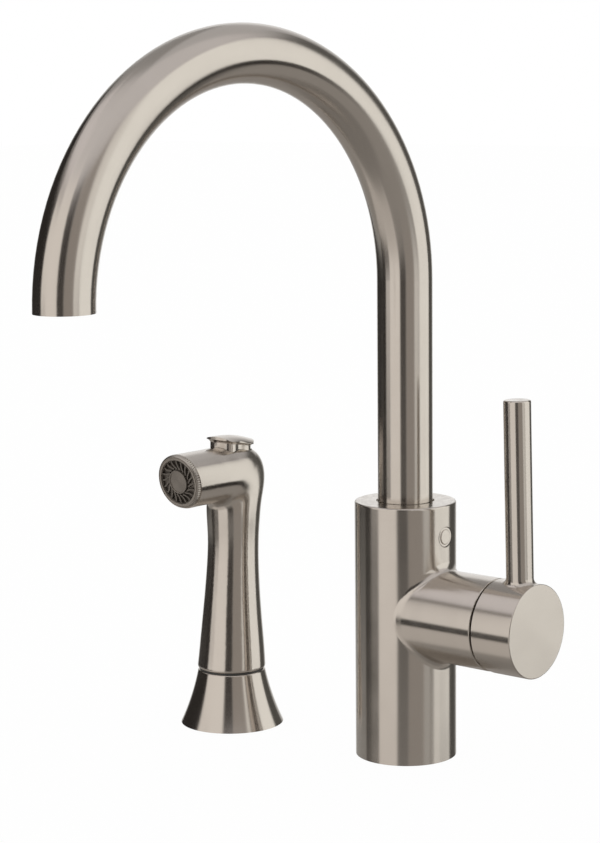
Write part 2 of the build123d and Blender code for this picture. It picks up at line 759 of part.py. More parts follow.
# ---------------------------------------------------------------- spray holder and hose end
def build_holder():
    """The flared deck holder with its plastic bush and gasket."""
    flare = ThreePointArc((holder_base_radius, 0, 0), (holder_waist_radius, 0, holder_waist_height),
                          (holder_top_radius, 0, holder_height))
    holder = lathe(flare, Polyline([flare @ 1, (0, 0, holder_height), (0, 0, 0), flare @ 0]))
    holder = fillet(rims(holder, holder_height), holder_edge)
    holder = holder - post(bush_radius + running_gap, 0, holder_height)
    holder = holder - post(holder_foot_bore, 0, holder_foot_depth)
    gasket_outer = holder_base_radius - gasket_inset
    gasket_inner = gasket_outer - gasket_width
    holder = holder - collar(gasket_outer + running_gap, gasket_inner - running_gap, 0, gasket_depth)
    nodes["spray_holder"] = at_spray(holder)
    nodes["holder_gasket"] = at_spray(collar(gasket_outer, gasket_inner, 0, gasket_depth))
    bush = collar(bush_radius, bush_bore, 0, holder_height)
    bush = bush + collar(bush_flange_radius, bush_bore, holder_height, holder_height + bush_flange)
    nodes["holder_bush"] = at_spray(bush)


def build_hose_end():
    """The end that the spray hose screws into. The handle swivels on its neck."""
    low = handle_foot - connector_drop
    neck_top = handle_foot + neck_height
    body = post(connector_radius, low, handle_foot)
    body = body + post(neck_radius, handle_foot, neck_top)
    body = body - post(hose_thread_radius, low, low + hose_thread_depth)
    body = body - post(hose_bore, low, neck_top)
    clip_low = handle_foot + clip_rise
    clip_seat = neck_radius - clip_bite
    body = body - collar(neck_radius + past, clip_seat, clip_low, clip_low + clip_height)
    ring_height = handle_foot + connector_ring_rise
    ring_seat = neck_radius - neck_groove
    section = (adapter_bore - ring_seat) / 2
    body = body - collar(neck_radius + past, ring_seat, ring_height - section, ring_height + section)
    nodes["hose_connector"] = at_spray(body)
    clip_reach = neck_radius + clip_bite
    clip = collar(clip_reach, clip_seat + running_gap,
                  clip_low + running_gap, clip_low + clip_height - running_gap)
    clip = clip - block(0, clip_reach + past, -clip_height, clip_height, clip_low, clip_low + clip_height)
    nodes["connector_clip"] = at_spray(clip)
    nodes["connector_o_ring"] = at_spray(o_ring(ring_seat, adapter_bore, ring_height))


# ---------------------------------------------------------------- spray handle
def shoulder_distance(angle):
    """Distance from the crotch's centre to the spray's outer back, looking up by an angle."""
    ahead = shoulder_back + crotch_ahead
    above = shoulder_height - crotch_height
    rise = head_height + head_radius - crotch_height
    back_end = math.atan2(above, ahead + head_radius)
    top_start = math.atan2(rise, ahead)
    if angle >= top_start:
        return rise / math.sin(angle)
    if angle <= back_end:
        slant = (shoulder_back + head_radius - neck_back) / above
        return (neck_back + crotch_ahead) / (math.cos(angle) - slant * math.sin(angle))
    along = ahead * math.cos(angle) + above * math.sin(angle)
    aside = above * math.cos(angle) - ahead * math.sin(angle)
    return along + math.sqrt(head_radius ** 2 - aside ** 2)


def skin_section(centre, angle, back_to_front, side_to_side):
    """One oval section of the spray's skin. Its long way looks up by an angle from the rear."""
    along = (0, math.cos(angle), math.sin(angle))
    normal = (0, -math.sin(angle), math.cos(angle))
    return Plane(origin=centre, x_dir=along, z_dir=normal) * Ellipse(back_to_front, side_to_side)


def spray_outside():
    """The handle and its head as one skin over sections that fan round under the head."""
    sections = []
    for station, radius, back in handle_sections:
        centre = (0, back, handle_foot + station * handle_length)
        sections.append(skin_section(centre, 0, radius, radius))
    for step in range(fan_sections + 1):
        angle = math.radians(90.0) * step / fan_sections
        half = (shoulder_distance(angle) - crotch_radius) / 2
        middle = crotch_radius + half
        centre = (0, middle * math.cos(angle) - crotch_ahead, crotch_height + middle * math.sin(angle))
        sections.append(skin_section(centre, angle, half, head_radius))
    # then straight on along the head, past the spray face
    nose_end = head_reach + head_radius
    for step in range(1, nose_sections + 1):
        ahead = crotch_ahead + (nose_end - crotch_ahead) * step / nose_sections
        sections.append(skin_section((0, -ahead, head_height), math.radians(90.0), head_radius, head_radius))
    # handle and head are skinned apart, sharing the sections beside the one where they meet
    meeting = len(handle_sections) + fan_sections // 2
    slant = math.radians(45.0)
    seam = Plane(origin=(0, -crotch_ahead, crotch_height), x_dir=(1, 0, 0),
                 z_dir=(0, -math.sin(slant), math.cos(slant)))
    handle = split(loft(sections[:meeting + 2]), bisect_by=seam, keep=Keep.BOTTOM)
    head = split(loft(sections[meeting - 1:]), bisect_by=seam, keep=Keep.TOP)
    skin = handle + head
    low_station, low_radius, low_back = handle_sections[0]
    foot = post(low_radius, handle_foot, handle_foot + low_station * handle_length, 0, low_back)
    return skin + fillet(rims(foot, -handle_foot, (0, 0, -1)), handle_foot_edge)


def face_plane():
    """The spray face: its normal points out of the nozzle, a little downwards."""
    tilt = math.radians(face_tilt)
    out_of_face = (0, -math.cos(tilt), -math.sin(tilt))
    return Plane(origin=(0, -head_reach, head_height), x_dir=(1, 0, 0), z_dir=out_of_face)


def on_face(shape):
    """Carries a piece built along Z, with the face at zero, to the nozzle."""
    return face_plane().location * shape


def trigger_outline(size, height, tilt=0.0):
    """An outline with two lobes and a waist, longer along Y, on a plane that may lean back."""
    length, front, waist, rear = size
    end = length / 2
    front_lobe, narrow, rear_lobe = trigger_lobes
    stations = (-end, -front_lobe * length, -narrow * length, rear_lobe * length)
    right = list(zip((0, front / 2, waist / 2, rear / 2), stations))
    left = [(-across, along) for across, along in reversed(right[1:])]
    slope = math.radians(tilt)
    upward = (0, math.sin(slope), math.cos(slope))
    place = Plane(origin=(0, trigger_back, height), x_dir=(1, 0, 0), z_dir=upward)
    return place * make_face(Spline(right + [(0, end)] + left, periodic=True))


def build_spray_body():
    """The spray's hollow casting: handle, head, nozzle bore and the pocket under the trigger."""
    casting = spray_outside()
    beyond = 2 * head_radius
    casting = casting - on_face(post(beyond, -bezel_height, beyond))
    casting = casting - post(handle_bore, handle_foot - past, handle_bore_top, 0, bore_back)
    casting = casting - post(connector_radius + swing_gap, handle_foot - past, handle_foot + running_gap)
    casting = casting - on_face(post(nozzle_bore, -nozzle_depth, past))
    face_depth = head_reach - nozzle_depth / 2
    casting = casting - bar(head_waterway_radius, (0, -face_depth, head_waterway_height),
                            (0, bore_back, head_waterway_height))
    casting = casting - post(valve_seat_hole, handle_bore_top - past, head_waterway_height, 0, bore_back)
    gland_hole = gland_radius + running_gap
    casting = casting - post(gland_hole, head_waterway_height, trigger_pocket_floor, 0, bore_back)
    pocket = [size + 2 * swing_gap for size in trigger_foot_size]
    casting = casting - extrude(trigger_outline(pocket, trigger_pocket_floor), head_radius)
    nodes["spray_body"] = at_spray(casting)


def build_spray_inside():
    """What the handle holds: swivel adapter, waterway, valve and its spring."""
    adapter_low = handle_foot + swing_gap
    adapter_high = adapter_low + adapter_height
    web_low = adapter_high - adapter_web
    clip_low = handle_foot + clip_rise
    clip_reach = neck_radius + clip_bite
    adapter = post(handle_bore - running_gap, adapter_low, adapter_high, 0, bore_back)
    adapter = adapter - post(adapter_bore, adapter_low, web_low)
    adapter = adapter - collar(clip_reach + running_gap, adapter_bore, clip_low, clip_low + clip_height)
    adapter = adapter - post(waterway_tube_radius + running_gap, web_low - past, adapter_high, 0, bore_back)
    nodes["handle_adapter"] = at_spray(adapter)
    tube = collar(waterway_tube_radius, hose_bore, web_low, valve_housing_foot, 0, bore_back)
    nodes["waterway_tube"] = at_spray(tube)

    chamber_low = valve_housing_foot + valve_housing_web
    chamber_high = chamber_low + valve_chamber_height
    housing_high = handle_bore_top
    housing = post(handle_bore - running_gap, valve_housing_foot, housing_high, 0, bore_back)
    housing = housing - post(hose_bore, valve_housing_foot, chamber_low, 0, bore_back)
    housing = housing - post(valve_chamber_radius, chamber_low, chamber_high, 0, bore_back)
    housing = housing - post(valve_seat_hole, chamber_high, housing_high, 0, bore_back)
    nodes["spray_valve_housing"] = at_spray(housing)

    seal_high = chamber_high - running_gap
    seal_low = seal_high - poppet_seal_height
    poppet_low = seal_low - poppet_height
    poppet = post(poppet_radius, poppet_low, seal_low, 0, bore_back)
    nodes["spray_poppet"] = at_spray(poppet)
    seal = collar(poppet_radius, trigger_stem_radius, seal_low, seal_high, 0, bore_back)
    nodes["poppet_seal"] = at_spray(seal)
    stem = post(trigger_stem_radius, seal_low, trigger_stem_top, 0, bore_back)
    nodes["trigger_stem"] = at_spray(stem)
    spring = coil(poppet_radius - spring_wire, spring_wire, chamber_low, poppet_low, spring_turns)
    nodes["spray_spring"] = at_spray(Pos(0, bore_back, 0) * spring)
    gland_high = trigger_pocket_floor
    nodes["trigger_gland"] = at_spray(collar(gland_radius, trigger_stem_radius + running_gap,
                                             gland_high - gland_height, gland_high, 0, bore_back))


def crown_section(behind, crest, radius):
    """What lies over the trigger's crowned top, as a face across the trigger."""
    half = crown_span * radius
    fall = radius - math.sqrt(radius ** 2 - half ** 2)
    top = crest + head_radius
    arc = ThreePointArc((-half, crest - fall), (0, crest), (half, crest - fall))
    lid = Polyline([arc @ 1, (half, top), (-half, top), arc @ 0])
    place = Plane(origin=(0, trigger_back + behind, trigger_foot), x_dir=(-1, 0, 0), z_dir=(0, 1, 0))
    return place * make_face(Wire(arc.edges() + lid.edges()))


def build_trigger():
    """The waisted push button on top of the spray, crowned, high in front and lower behind."""
    neck = trigger_foot + trigger_neck_height
    flange = trigger_foot + trigger_flange_height
    half_flared = []
    for low, high in zip(trigger_foot_size, trigger_flange_size):
        half_flared.append(low + trigger_flare * (high - low))
    middle_lean = (trigger_neck_lean + trigger_flange_lean) / 2
    top = flange + head_radius
    sections = [
        trigger_outline(trigger_foot_size, trigger_foot),
        trigger_outline(trigger_foot_size, neck, trigger_neck_lean),
        trigger_outline(half_flared, (neck + flange) / 2, middle_lean),
        trigger_outline(trigger_flange_size, flange, trigger_flange_lean),
        trigger_outline(trigger_flange_size, top, trigger_flange_lean),
    ]
    button = loft(sections[:2]) + loft(sections[1:4]) + loft(sections[3:])
    over_crown = loft([crown_section(*station) for station in trigger_crown])
    button = button - over_crown
    button = button - post(trigger_stem_radius, trigger_foot, trigger_stem_top, 0, bore_back)
    nodes["trigger_button"] = at_spray(button)


# ---------------------------------------------------------------- spray nozzle, along Z out of the face
def vane(turn):
    """One curved vane of the spray plate, from its inner end to its outer end."""
    places = []
    bend = vane_sweep / 2 + vane_bend
    middle = (vane_inner + vane_outer) / 2
    for radius, degrees in ((vane_inner, 0), (middle, bend), (vane_outer, vane_sweep)):
        angle = math.radians(degrees)
        places.append((radius * math.cos(angle), radius * math.sin(angle)))
    wall = extrude(trace(ThreePointArc(*places), vane_width), plate_recess)
    return Rot(0, 0, turn) * Pos(0, 0, -plate_sunk - plate_recess) * wall


def knurled_disc():
    """A disc whose rim is cut into fine teeth."""
    corners = []
    for step in range(2 * knurl_teeth):
        radius = bezel_radius - knurl_depth * (step % 2)
        angle = math.pi * step / knurl_teeth
        corners.append((radius * math.cos(angle), radius * math.sin(angle)))
    return extrude(make_face(Polyline(corners, close=True)), -bezel_height)


def build_nozzle():
    """The knurled bezel, the vaned spray plate, its middle disc and the seal behind."""
    edge = bezel_radius - bezel_bevel
    cone = turned([(0, 0), (edge, 0), (bezel_radius, -bezel_bevel), (bezel_radius, -bezel_height),
                   (0, -bezel_height)])
    sleeve_end = bezel_height + bezel_sleeve
    bezel = (knurled_disc() & cone) + post(nozzle_bore - running_gap, -sleeve_end, -bezel_height)
    bezel = bezel - post(bezel_opening, -sleeve_end, 0)
    groove = bezel_opening + bezel_groove_inset
    bezel = bezel - collar(groove + bezel_groove, groove, -bezel_groove_depth, past)
    nodes["nozzle_bezel"] = at_spray(on_face(bezel))

    floor = -plate_sunk - plate_recess
    back = -plate_sunk - plate_height
    plate = post(bezel_opening - running_gap, back, -plate_sunk)
    plate = plate - post(vane_outer + slip_gap, floor, 0)
    plate = plate - post(plate_back_radius, back, back + plate_back_depth)
    plate = plate - post(disc_stem_radius + running_gap, back, 0)
    jet_circle = (disc_radius + vane_outer) / 2
    for step in range(vane_count):
        turn = 360.0 * step / vane_count
        plate = plate + vane(turn)
        angle = math.radians(turn - vane_bend)
        place = (jet_circle * math.cos(angle), jet_circle * math.sin(angle))
        plate = plate - post(jet_radius, back, floor, *place)
    nodes["spray_plate"] = at_spray(on_face(plate))
    disc = post(disc_radius, floor, floor + disc_height)
    disc = disc - post(disc_radius - disc_rim_width, floor + disc_height - disc_dish, floor + disc_height)
    disc = disc + post(disc_stem_radius, back + plate_back_depth / 2, floor)
    nodes["spray_centre_disc"] = at_spray(on_face(disc))
    seal_outer = nozzle_bore - running_gap
    seal = collar(seal_outer, seal_outer - nozzle_seal_width, -nozzle_depth, -sleeve_end)
    nodes["nozzle_seal"] = at_spray(on_face(seal))


build_body()
build_spout()
build_aerator()
build_valve()
build_lever()
build_diverter()
build_holder()
build_hose_end()
build_spray_body()
build_spray_inside()
build_trigger()
build_nozzle()

os.makedirs("parts", exist_ok=True)
for name, shape in nodes.items():
    export_step(shape, f"parts/{name}.step")
    print(name, round(shape.volume, 1))
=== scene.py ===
import json
import math
from typing import NamedTuple

import bpy
import numpy as np
from mathutils import Matrix, Vector


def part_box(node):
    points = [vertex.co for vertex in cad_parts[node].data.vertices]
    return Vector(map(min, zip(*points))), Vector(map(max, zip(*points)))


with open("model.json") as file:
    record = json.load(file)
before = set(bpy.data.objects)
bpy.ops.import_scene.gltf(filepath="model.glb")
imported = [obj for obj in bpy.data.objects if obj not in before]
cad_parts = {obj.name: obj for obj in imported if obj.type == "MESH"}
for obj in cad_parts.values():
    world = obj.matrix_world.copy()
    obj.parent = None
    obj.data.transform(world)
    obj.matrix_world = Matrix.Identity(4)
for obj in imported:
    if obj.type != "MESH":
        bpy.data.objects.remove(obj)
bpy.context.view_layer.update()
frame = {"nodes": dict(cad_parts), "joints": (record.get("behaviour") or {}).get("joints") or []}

bl_info = {
    "name": "Side spray kitchen faucet",
    "version": (1, 0, 0),
    "blender": (4, 5, 0),
    "location": "3D View > Sidebar > Faucet",
    "description": "Brushed nickel finish, trim and studio for a kitchen faucet with a side spray",
    "category": "Object",
}


# ---------------------------------------------------------------- places on the faucet, in metres
def joint_place(name):
    """Where a joint of the record turns, as a vector."""
    for joint in frame["joints"]:
        if joint["name"] == name:
            return Vector(joint["pos_m"])
    raise RuntimeError(f"the record has no joint {name}")


def middle_of(name):
    """The middle of a CAD node's box."""
    low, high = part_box(name)
    return tuple((start + end) / 2 for start, end in zip(low, high))


HUB_AXIS = joint_place("lever_turn")
SPRAY_AXIS = joint_place("spray_swivel")
COLUMN_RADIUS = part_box("body_shell")[1][1]
SPOUT_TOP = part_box("spout_tube")[1][2]
SPOUT_RADIUS = 0.0127
SPOUT_BEND_RADIUS = 0.1016              # of the tube's middle line
SPOUT_TURN = math.radians(3.0)          # how far the spout is turned aside at rest
SPRAY_BEND_AHEAD = 0.0145               # from the spray's axis to the middle of the bend into its head
SPRAY_BEND_HEIGHT = 0.1066
TRIGGER_BACK = 0.0015                   # from the spray's axis to the middle of the trigger
NOZZLE_TILT = math.radians(8.0)         # how far the spray's face looks down
BLEND_START = 0.0004                    # past the column's side, where its lines start to turn to the hub's
BLEND_END = 0.0030
UP = (0.0, 0.0, 1.0)
ALONG_HUB = (1.0, 0.0, 0.0)


# ---------------------------------------------------------------- settings
class FaucetFinish(bpy.types.PropertyGroup):
    nickel: bpy.props.FloatVectorProperty(
        name="Nickel", description="Colour of the brushed nickel", subtype="COLOR",
        size=3, min=0.0, max=1.0, default=(0.655, 0.61, 0.56))
    roughness: bpy.props.FloatProperty(
        name="Roughness", description="Roughness of the brushed nickel", default=0.2, min=0.05, max=1.0)
    satin_roughness: bpy.props.FloatProperty(
        name="Satin roughness", description="Roughness of the satin spray handle", default=0.2, min=0.05, max=1.0)
    directional: bpy.props.FloatProperty(
        name="Directional", description="How much the brushing stretches reflections", default=0.8, min=0.0, max=1.0)
    grain_pitch: bpy.props.FloatProperty(
        name="Grain pitch", description="Spacing of the brush lines", default=0.00035, min=0.00005,
        unit="LENGTH", precision=5)
    grain_depth: bpy.props.FloatProperty(
        name="Grain depth", description="Depth of the brush lines", default=0.000003, min=0.0,
        unit="LENGTH", precision=6)
    rubber: bpy.props.FloatVectorProperty(
        name="Rubber", description="Colour of gaskets and rings", subtype="COLOR",
        size=3, min=0.0, max=1.0, default=(0.022, 0.022, 0.023))
    acetal: bpy.props.FloatVectorProperty(
        name="Acetal", description="Colour of the moulded inner pieces", subtype="COLOR",
        size=3, min=0.0, max=1.0, default=(0.78, 0.77, 0.73))
    brass: bpy.props.FloatVectorProperty(
        name="Brass", description="Colour of the turned brass pieces", subtype="COLOR",
        size=3, min=0.0, max=1.0, default=(0.72, 0.53, 0.25))


class FaucetStudio(bpy.types.PropertyGroup):
    distance: bpy.props.FloatProperty(
        name="Camera distance", description="From the faucet's axis to the camera, along the floor",
        default=1.0724, unit="LENGTH")
    height: bpy.props.FloatProperty(
        name="Camera height", description="Height of the camera over the deck", default=0.31337, unit="LENGTH")
    azimuth: bpy.props.FloatProperty(
        name="Camera azimuth", description="Direction of the camera, turned from the front to the right",
        default=math.radians(38.31), subtype="ANGLE")
    yaw: bpy.props.FloatProperty(
        name="Yaw", description="How far the camera looks aside of the faucet's axis",
        default=math.radians(2.583), subtype="ANGLE")
    pitch: bpy.props.FloatProperty(
        name="Pitch", description="How far the camera looks down", default=math.radians(8.297), subtype="ANGLE")
    roll: bpy.props.FloatProperty(
        name="Roll", description="Tilt of the camera about its view", default=math.radians(-0.548), subtype="ANGLE")
    lens: bpy.props.FloatProperty(
        name="Lens", description="Focal length for a 36 mm frame, in millimetres", default=100.54)
    softness: bpy.props.FloatProperty(
        name="Softness", description="Width of the edge between the studio's light and dark parts",
        default=math.radians(3.0), subtype="ANGLE")
    level: bpy.props.FloatProperty(
        name="Level", description="Level of the light from all round", default=1.0, min=0.0)
    floor_shown: bpy.props.FloatProperty(
        name="Floor whiteness", description="How much of its shadow the floor hides from the camera",
        default=0.975, min=0.0, max=1.0, subtype="FACTOR")


class Patch(NamedTuple):
    """A part of what surrounds the faucet: its sides, round from the camera to the right, its foot and
    top over the horizon, all in degrees, and its light. A later patch covers an earlier one."""
    name: str
    left: float
    right: float
    foot: float
    top: float
    light: tuple


SURROUNDINGS = [
    Patch("table", -200, 200, -95, -17, (0.33, 0.31, 0.29)),
    Patch("table lit from the left", -106, -22, -47, -17, (0.58, 0.545, 0.51)),
    Patch("table under the faucet", -200, 200, -95, -54, (0.24, 0.225, 0.21)),
    Patch("ceiling", -200, 200, 27, 95, (0.33, 0.32, 0.315)),
    Patch("ceiling behind the spout", 118, 200, 27, 95, (0.54, 0.53, 0.53)),
    Patch("ceiling over the spout", -124, 122, 36, 95, (0.70, 0.68, 0.68)),
    Patch("left soft box", -86, -19, -17, 42, (0.91, 0.87, 0.83)),
    Patch("upper left soft box", -132, -60, 37, 60, (0.78, 0.75, 0.755)),
    Patch("slit between the left soft boxes", -132, -60, 32, 37, (0.26, 0.24, 0.23)),
    Patch("gap under the left soft box", -104, -64, -19.5, -7.5, (0.008, 0.007, 0.006)),
    Patch("left flag", -154, -84, -13, 30, (0.030, 0.027, 0.025)),
    Patch("right soft box", 60, 118, -18, 38, (1.05, 1.04, 1.0)),
    Patch("gap under the right soft box", 84, 132, -29, -18, (0.03, 0.027, 0.025)),
    Patch("right flag", 118, 152, -28, 38, (0.10, 0.097, 0.09)),
    Patch("side of the right soft box", 38, 60, -9, 38, (0.88, 0.86, 0.82)),
    Patch("warm wall", 5, 40, -17, 38, (0.34, 0.31, 0.285)),
    Patch("foot of the right soft box", 56, 66, -16, -9, (0.10, 0.09, 0.08)),
    Patch("dark behind the camera", -19, 5, -15, 36, (0.055, 0.049, 0.045)),
]
SURROUND = (0.42, 0.415, 0.40)          # the light of what no patch covers
# the white backdrop behind the faucet, which its metal mirrors too: where it starts and is full, round
# from the camera to either side, and its foot and top, in degrees
BACKDROP_START = 154
BACKDROP_FULL = 178
BACKDROP_HEIGHT = (-17, 30)
PLAIN_LIGHT = (0.92, 0.92, 0.92)        # what falls on all that isn't polished
WHITE = (1.0, 1.0, 1.0, 1.0)
FLOOR_COLOUR = (0.86, 0.86, 0.86)
FLOOR_REACH = 8.0                       # metres from the middle to each side
FLOOR_POINTS = 17
FLOOR_GAP = 0.00002                     # under the gaskets, so that no two faces lie in one plane


# ---------------------------------------------------------------- what the finishes share
CERAMIC = (0.74, 0.73, 0.70)
CERAMIC_SHADE = (0.68, 0.67, 0.65)
STEEL = (0.56, 0.56, 0.55)
STEEL_SHADE = (0.48, 0.48, 0.48)
DARK = (0.055, 0.053, 0.05)
DARK_SHADE = (0.04, 0.04, 0.04)
SLOW_GRAIN = (2.0, 2.0, 0.02)           # scales the brush lines' place for the slow change of the polish
FINE_SHARE = 0.7                        # of the fine lines in the roughness, beside the slow change
TARNISHED = (0.55, 0.5, 0.45)           # what the metal's colour is multiplied by in its darkest lines
WIDE_SPECKLE = 120.0
GRAIN_VARIATION = 0.07
GRAIN_STRENGTH = 0.35
SPECKLE_STRENGTH = 0.4
SPECKLE_VARIATION = 0.12
FLAT_END = 0.9                          # how far a face looks along the axis to count as a flat end
RING_SCALE = 20.0                       # noise steps per metre across flat ends, bends and the column
BEND_SCALE = 60.0
COLUMN_SCALE = 40.0
SPOUT_BEND_RUN = 0.1                    # metres of run for each radian of a bend
SPRAY_BEND_RUN = 0.03
LEAST_BEHIND = 0.001                    # keeps the way across the lines from vanishing past the bend


# ---------------------------------------------------------------- node helpers
def add(tree, kind, **settings):
    """A node of a kind, with its properties set by name."""
    node = tree.nodes.new(kind)
    for name, value in settings.items():
        setattr(node, name, value)
    return node


def feed(tree, node, socket, value):
    """Links another node's output to a socket, or sets the socket's own value."""
    if isinstance(value, bpy.types.NodeSocket):
        tree.links.new(value, node.inputs[socket])
    elif value is not None:
        node.inputs[socket].default_value = value


def maths(tree, operation, first, second=None, third=None):
    """One Math node."""
    node = add(tree, "ShaderNodeMath", operation=operation)
    for place, value in enumerate((first, second, third)):
        feed(tree, node, place, value)
    return node.outputs[0]


def vector(tree, operation, first, second=None):
    """One Vector Math node; dot products, lengths and distances come out as a value."""
    node = add(tree, "ShaderNodeVectorMath", operation=operation)
    feed(tree, node, 0, first)
    if operation == "SCALE":
        feed(tree, node, "Scale", second)
    elif second is not None:
        feed(tree, node, 1, second)
    scalar = operation in ("DOT_PRODUCT", "LENGTH", "DISTANCE")
    return node.outputs["Value"] if scalar else node.outputs["Vector"]


def ramp(tree, value, low, high):
    """A smooth step from 0 at low to 1 at high."""
    node = add(tree, "ShaderNodeMapRange", interpolation_type="SMOOTHSTEP")
    feed(tree, node, "Value", value)
    node.inputs["From Min"].default_value = low
    node.inputs["From Max"].default_value = high
    return node.outputs["Result"]


def between(tree, value, start, end, soft):
    """1 where an angle in radians lies between two in degrees, with soft edges, and 0 elsewhere."""
    start = math.radians(start)
    end = math.radians(end)
    risen = ramp(tree, value, start - soft, start + soft)
    fallen = ramp(tree, value, end - soft, end + soft)
    return maths(tree, "SUBTRACT", risen, fallen)


def colour_mix(tree, share, first, second):
    """A mix of two colours."""
    node = add(tree, "ShaderNodeMix", data_type="RGBA")
    feed(tree, node, 0, share)
    feed(tree, node, 6, first)
    feed(tree, node, 7, second)
    return node.outputs[2]


def number_mix(tree, share, first, second):
    """A mix of two values."""
    node = add(tree, "ShaderNodeMix", data_type="FLOAT")
    for place, value in zip((0, 2, 3), (share, first, second)):
        feed(tree, node, place, value)
    return node.outputs[0]


def vector_mix(tree, share, first, second):
    """A mix of two vectors."""
    node = add(tree, "ShaderNodeMix", data_type="VECTOR")
    for place, value in zip((0, 4, 5), (share, first, second)):
        feed(tree, node, place, value)
    return node.outputs[1]


def opaque(colour):
    """A colour with full alpha."""
    return (colour[0], colour[1], colour[2], 1.0)


def shaded(share, colour):
    """A colour made darker or lighter by a share."""
    return tuple(share * part for part in colour)


def new_group(name, inputs, outputs):
    """A shader node group with named inputs (type and default) and outputs."""
    group = bpy.data.node_groups.new(name, "ShaderNodeTree")
    for label, kind, value in inputs:
        socket = group.interface.new_socket(label, in_out="INPUT", socket_type=kind)
        if value is not None:
            socket.default_value = value
    for label, kind in outputs:
        group.interface.new_socket(label, in_out="OUTPUT", socket_type=kind)
    return group, group.nodes.new("NodeGroupInput"), group.nodes.new("NodeGroupOutput")


def noise(tree, place, scale, detail, roughness=0.5):
    """One Noise Texture node over a place."""
    node = add(tree, "ShaderNodeTexNoise", noise_dimensions="3D")
    feed(tree, node, "Vector", place)
    feed(tree, node, "Scale", scale)
    node.inputs["Detail"].default_value = detail
    node.inputs["Roughness"].default_value = roughness
    return node.outputs["Fac"]


def brush_group():
    """Brush lines. Run is the distance along the work, Spin the direction around it.

    Fine noise over Run, nearly constant round the work, gives lines of a pitch. A second, wider
    noise lets the polish vary slowly. Out come a colour, a roughness and a height.
    """
    group, source, sink = new_group(
        "Brushed grain",
        [("Run", "NodeSocketFloat", 0.0), ("Spin", "NodeSocketVector", None), ("Pitch", "NodeSocketFloat", 0.0004),
         ("Roughness", "NodeSocketFloat", 0.35), ("Variation", "NodeSocketFloat", 0.06),
         ("Colour", "NodeSocketColor", (0.6, 0.6, 0.6, 1.0)), ("Tarnish", "NodeSocketFloat", 0.05)],
        [("Colour", "NodeSocketColor"), ("Roughness", "NodeSocketFloat"), ("Height", "NodeSocketFloat")])
    lines = maths(group, "DIVIDE", source.outputs["Run"], source.outputs["Pitch"])
    along = add(group, "ShaderNodeCombineXYZ")
    feed(group, along, 2, lines)
    place = vector(group, "ADD", source.outputs["Spin"], along.outputs[0])
    fine = noise(group, place, 1.0, 3.0, roughness=0.6)
    slow = noise(group, vector(group, "MULTIPLY", place, SLOW_GRAIN), 1.0, 2.0)
    fine_swing = maths(group, "SUBTRACT", fine, 0.5)
    slow_swing = maths(group, "SUBTRACT", slow, 0.5)
    swing = maths(group, "ADD", maths(group, "MULTIPLY", fine_swing, FINE_SHARE), slow_swing)
    rough = maths(group, "MULTIPLY_ADD", swing, source.outputs["Variation"], source.outputs["Roughness"])
    darker = vector(group, "MULTIPLY", source.outputs["Colour"], TARNISHED)
    share = maths(group, "MULTIPLY", maths(group, "ADD", swing, 0.5), source.outputs["Tarnish"])
    colour = colour_mix(group, share, source.outputs["Colour"], darker)
    feed(group, sink, "Colour", colour)
    feed(group, sink, "Roughness", rough)
    feed(group, sink, "Height", fine)
    return group


def speckle_group():
    """Fine moulded or ground texture, even in every direction: colour, roughness and height."""
    group, source, sink = new_group(
        "Fine texture",
        [("Vector", "NodeSocketVector", None), ("Scale", "NodeSocketFloat", 3000.0),
         ("Colour", "NodeSocketColor", (0.5, 0.5, 0.5, 1.0)), ("Shade", "NodeSocketColor", (0.4, 0.4, 0.4, 1.0)),
         ("Roughness", "NodeSocketFloat", 0.5), ("Variation", "NodeSocketFloat", 0.1)],
        [("Colour", "NodeSocketColor"), ("Roughness", "NodeSocketFloat"), ("Height", "NodeSocketFloat")])
    fine = noise(group, source.outputs["Vector"], source.outputs["Scale"], 4.0)
    wide = noise(group, source.outputs["Vector"], WIDE_SPECKLE, 2.0)
    colour = colour_mix(group, wide, source.outputs["Colour"], source.outputs["Shade"])
    swing = maths(group, "SUBTRACT", fine, 0.5)
    rough = maths(group, "MULTIPLY_ADD", swing, source.outputs["Variation"], source.outputs["Roughness"])
    feed(group, sink, "Colour", colour)
    feed(group, sink, "Roughness", rough)
    feed(group, sink, "Height", fine)
    return group


def shared_group(name, maker):
    """The node group of a name, made the first time it is asked for."""
    return bpy.data.node_groups.get(name) or maker()


def principled(name):
    """A new material with its tree, its shader and its output linked."""
    material = bpy.data.materials.new(name)
    material.use_nodes = True
    tree = material.node_tree
    tree.nodes.clear()
    shader = tree.nodes.new("ShaderNodeBsdfPrincipled")
    output = tree.nodes.new("ShaderNodeOutputMaterial")
    tree.links.new(shader.outputs[0], output.inputs["Surface"])
    return material, tree, shader


